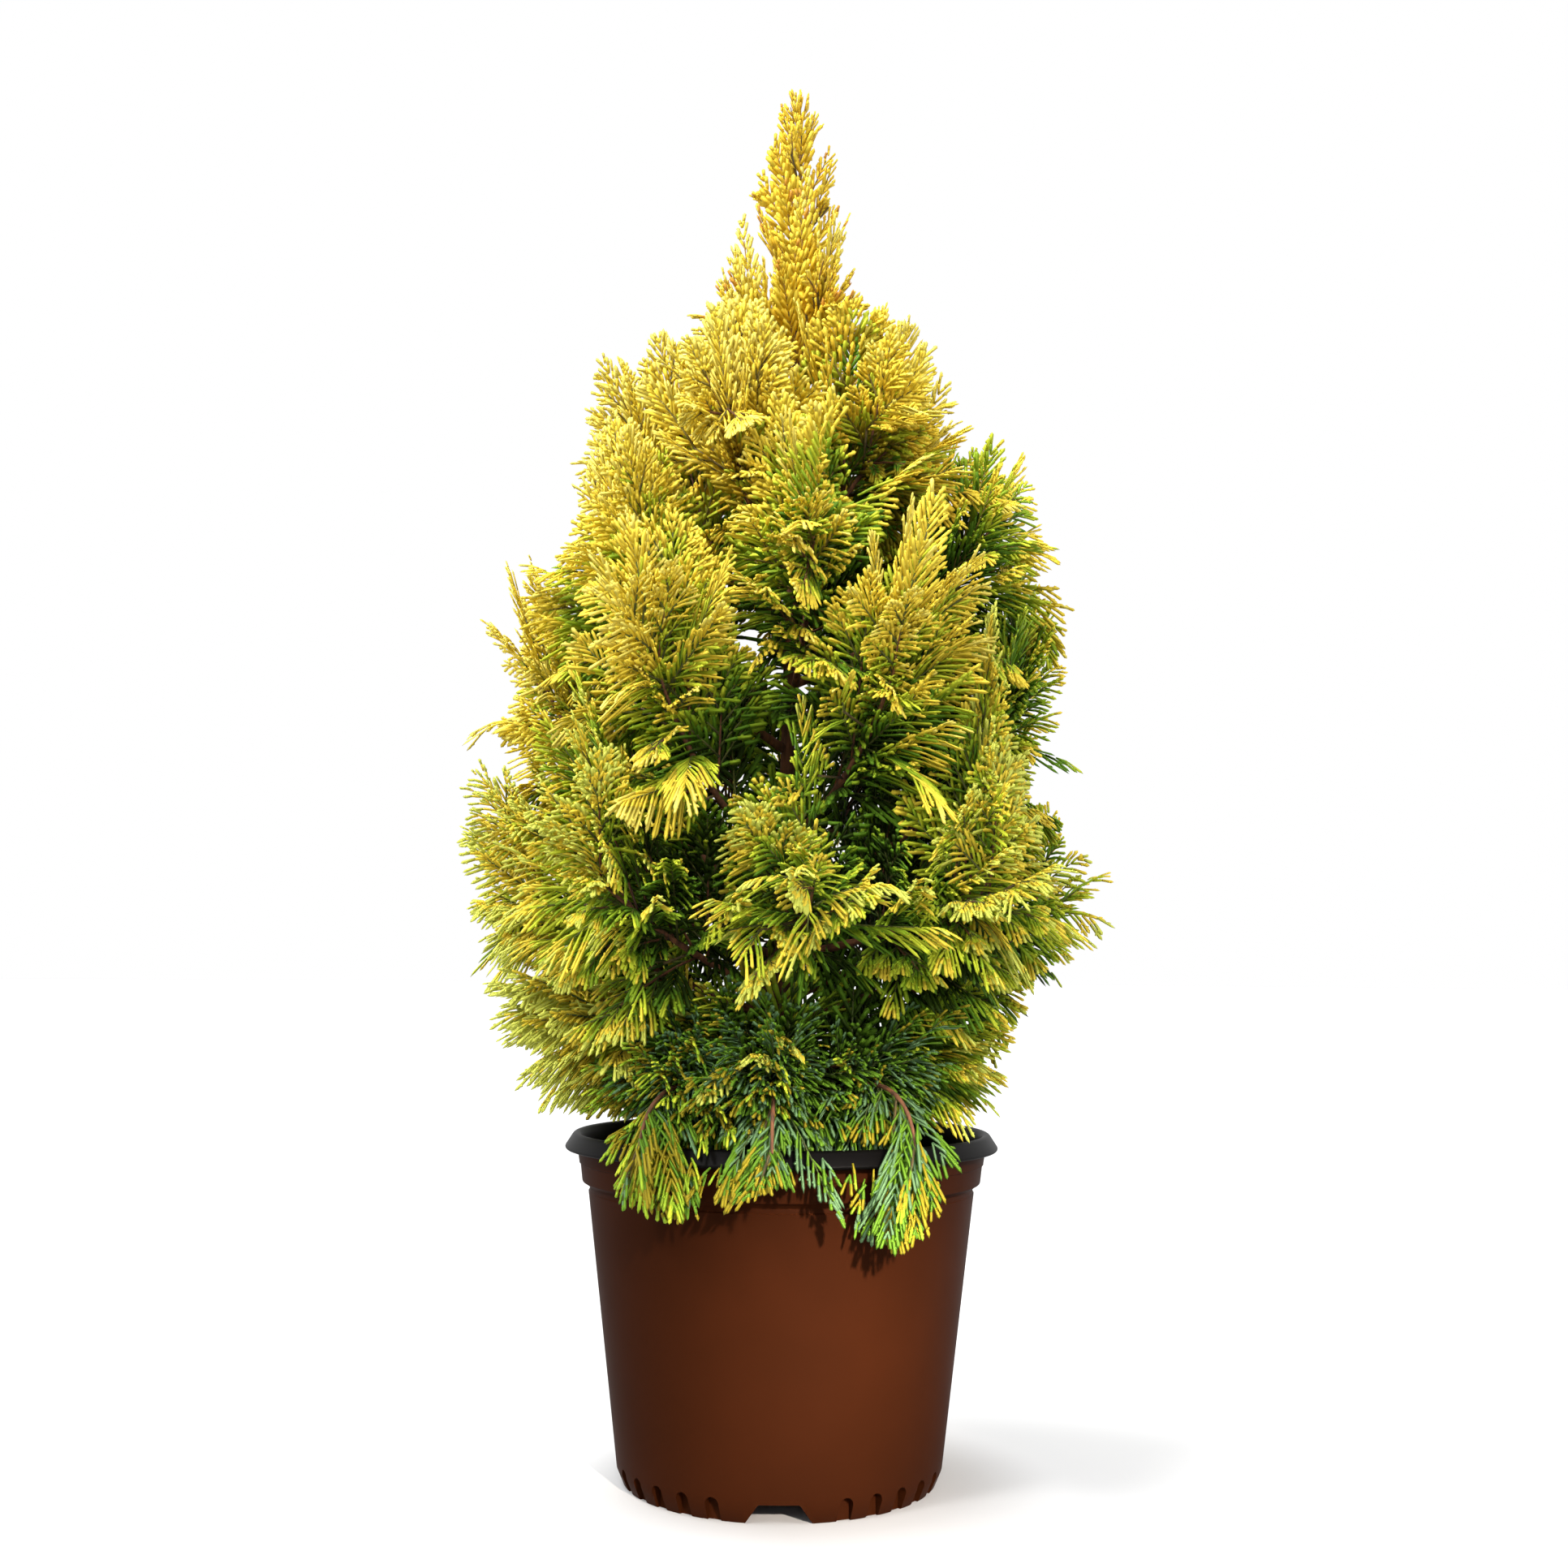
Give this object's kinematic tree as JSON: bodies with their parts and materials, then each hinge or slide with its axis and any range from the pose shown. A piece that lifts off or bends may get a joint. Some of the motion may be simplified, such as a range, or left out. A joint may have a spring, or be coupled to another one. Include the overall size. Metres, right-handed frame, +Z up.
{
  "type": "potted arborvitae",
  "caption": "Golden feathery arborvitae, an upright conifer with ascending boughs and drooping flat sprays, in a round tapered nursery pot with a rolled lip.",
  "frame": {"origin": "centre of the pot's foot, on the ground", "axes": "+Z up along the trunk, +X to the right of the front, -Y towards the front"},
  "size_m": [0.4204, 0.4175, 0.9344],
  "materials": {
    "pot": "moulded, satin, black lip",
    "potting_mix": "damp bark mix",
    "bark": "fibrous bark",
    "foliage_gold": "golden scale leaves",
    "foliage_yellow": "yellow scale leaves",
    "foliage_lime": "yellow-green scale leaves",
    "foliage_green": "green scale leaves"
  },
  "bodies": {
    "root": {"pot": "pot", "potting_mix": "potting_mix", "trunk": "bark", "middle_bough_1": "bark", "middle_bough_2": "bark", "middle_bough_3": "bark", "middle_bough_4": "bark", "middle_bough_5": "bark", "broad_bough_1": "bark", "broad_bough_2": "bark", "broad_bough_3": "bark", "broad_bough_4": "bark", "broad_bough_5": "bark", "broad_bough_6": "bark", "wide_bough_1": "bark", "wide_bough_2": "bark", "wide_bough_3": "bark", "wide_bough_4": "bark", "wide_bough_5": "bark", "wide_bough_6": "bark", "wide_bough_7": "bark", "wide_bough_8": "bark", "leader_plume": "foliage_gold", "crest_plume_1": "foliage_gold", "crest_plume_2": "foliage_gold", "crest_plume_3": "foliage_gold", "shoulder_plume_1": "foliage_yellow", "shoulder_plume_2": "foliage_yellow", "shoulder_plume_3": "foliage_yellow", "shoulder_plume_4": "foliage_yellow", "shoulder_plume_5": "foliage_yellow", "middle_plume_1": "foliage_yellow", "middle_plume_2": "foliage_yellow", "middle_plume_3": "foliage_yellow", "middle_plume_4": "foliage_yellow", "middle_plume_5": "foliage_yellow", "broad_plume_1": "foliage_lime", "broad_plume_2": "foliage_lime", "broad_plume_3": "foliage_lime", "broad_plume_4": "foliage_lime", "broad_plume_5": "foliage_lime", "broad_plume_6": "foliage_lime", "wide_plume_1": "foliage_lime", "wide_plume_2": "foliage_lime", "wide_plume_3": "foliage_lime", "wide_plume_4": "foliage_lime", "wide_plume_5": "foliage_lime", "wide_plume_6": "foliage_lime", "wide_plume_7": "foliage_lime", "wide_plume_8": "foliage_lime", "skirt_plume_1": "foliage_green", "skirt_plume_2": "foliage_green", "skirt_plume_3": "foliage_green", "skirt_plume_4": "foliage_green", "skirt_plume_5": "foliage_green", "fringe_plume_1": "foliage_green", "fringe_plume_2": "foliage_green", "fringe_plume_3": "foliage_green", "fringe_plume_4": "foliage_green"}
  },
  "joints": []
}
